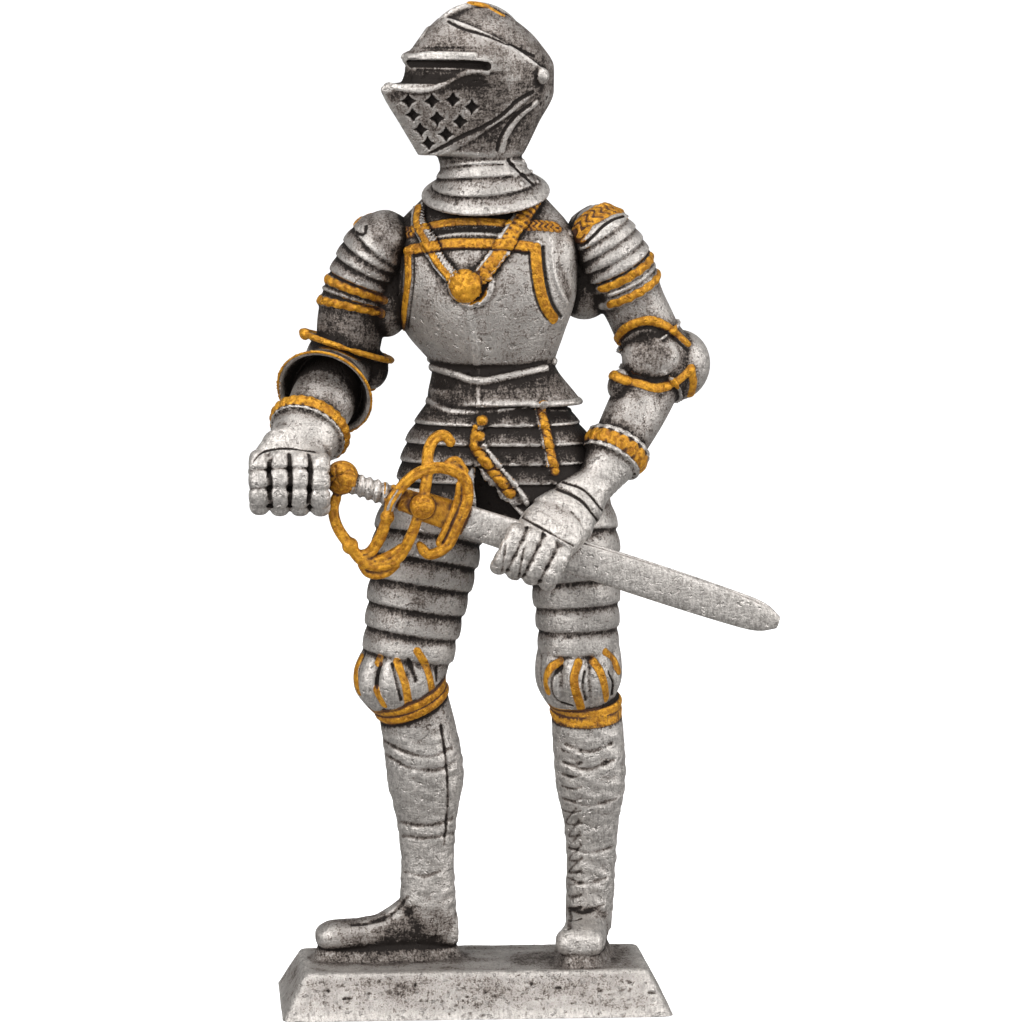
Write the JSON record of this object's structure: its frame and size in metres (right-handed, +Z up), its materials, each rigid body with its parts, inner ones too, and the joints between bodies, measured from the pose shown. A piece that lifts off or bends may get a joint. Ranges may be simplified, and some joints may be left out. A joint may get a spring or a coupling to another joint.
{
  "type": "medieval knight statuette",
  "caption": "Small cast pewter knight in full plate armour with a closed helmet, holding a sword across the thighs, on a low sloped plinth that is part of the casting.",
  "frame": {"origin": "middle of the plinth's flat underside, where the statuette stands", "axes": "+Z up through the figure; -Y is the plinth's long front, which the figure stands behind; +X towards the sword's point, at the knight's left"},
  "size_m": [0.0526, 0.0229, 0.1],
  "materials": {
    "pewter": "antiqued pewter: dark patina in the recesses, brushed bright on what stands out, with hand-painted gold trim"
  },
  "bodies": {
    "root": {"knight_on_plinth": "pewter"}
  },
  "joints": []
}
